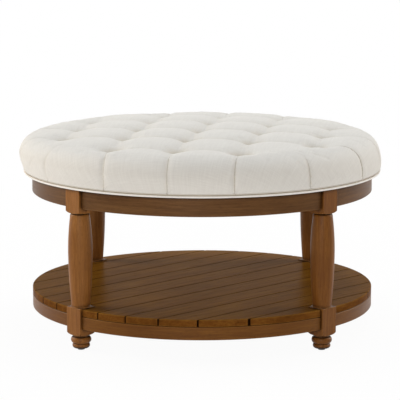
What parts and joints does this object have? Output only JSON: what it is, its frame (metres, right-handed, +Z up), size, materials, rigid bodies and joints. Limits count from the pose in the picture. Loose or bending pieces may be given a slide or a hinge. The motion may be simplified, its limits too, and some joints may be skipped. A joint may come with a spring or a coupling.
{
  "type": "ottoman coffee table",
  "caption": "Round low table: a deeply tufted padded seat on turned legs, with a curved apron and a round plank shelf near the floor.",
  "frame": {"origin": "on the floor under the middle of the table, at the glides' lower faces", "axes": "+Z up, -Y to the front, +X to the right; the legs stand at 45 degrees to X and Y"},
  "size_m": [0.9139, 0.9139, 0.5077],
  "materials": {
    "turned_wood": "satin brown lacquer",
    "apron_wood": "satin brown lacquer",
    "plank_wood": "satin brown lacquer",
    "inner_wood": "planed, unfinished",
    "plywood": "sanded plywood",
    "glide_plastic": "black, moulded",
    "clip_plastic": "moulded",
    "steel": "zinc plated",
    "linen": "ivory linen weave",
    "welt_fabric": "ivory woven, over cord",
    "foam": "polyurethane foam",
    "dust_cloth": "black spun cloth",
    "twine": "waxed twine"
  },
  "bodies": {
    "root": {"leg_front_left": "turned_wood", "corner_brace_front_left": "inner_wood", "leg_front_right": "turned_wood", "corner_brace_front_right": "inner_wood", "leg_back_right": "turned_wood", "corner_brace_back_right": "inner_wood", "leg_back_left": "turned_wood", "corner_brace_back_left": "inner_wood", "apron_front": "apron_wood", "shelf_rail_front": "apron_wood", "apron_right": "apron_wood", "shelf_rail_right": "apron_wood", "apron_back": "apron_wood", "shelf_rail_back": "apron_wood", "apron_left": "apron_wood", "shelf_rail_left": "apron_wood", "shelf_plank_01": "plank_wood", "shelf_plank_02": "plank_wood", "shelf_plank_03": "plank_wood", "shelf_plank_04": "plank_wood", "shelf_plank_05": "plank_wood", "shelf_plank_06": "plank_wood", "shelf_plank_07": "plank_wood", "shelf_plank_08": "plank_wood", "shelf_plank_09": "plank_wood", "shelf_plank_10": "plank_wood", "shelf_plank_11": "plank_wood", "shelf_plank_12": "plank_wood", "shelf_batten_front_left": "inner_wood", "shelf_batten_back_right": "inner_wood", "glide_pads": "glide_plastic", "glide_nails": "steel", "leg_bolts": "steel", "leg_washers": "steel", "leg_nuts": "steel", "batten_screws": "steel", "rail_screws": "steel", "apron_screws": "steel", "seat_screws": "steel", "cover_staples": "steel", "seat_board": "plywood", "tuft_twines": "twine", "tuft_clips": "clip_plastic", "tuft_washers": "clip_plastic", "dust_cover": "dust_cloth", "welt_cord": "twine", "welt_cover": "welt_fabric", "welt_tape": "welt_fabric", "seat_foam": "foam", "seat_cover": "linen"}
  },
  "joints": []
}
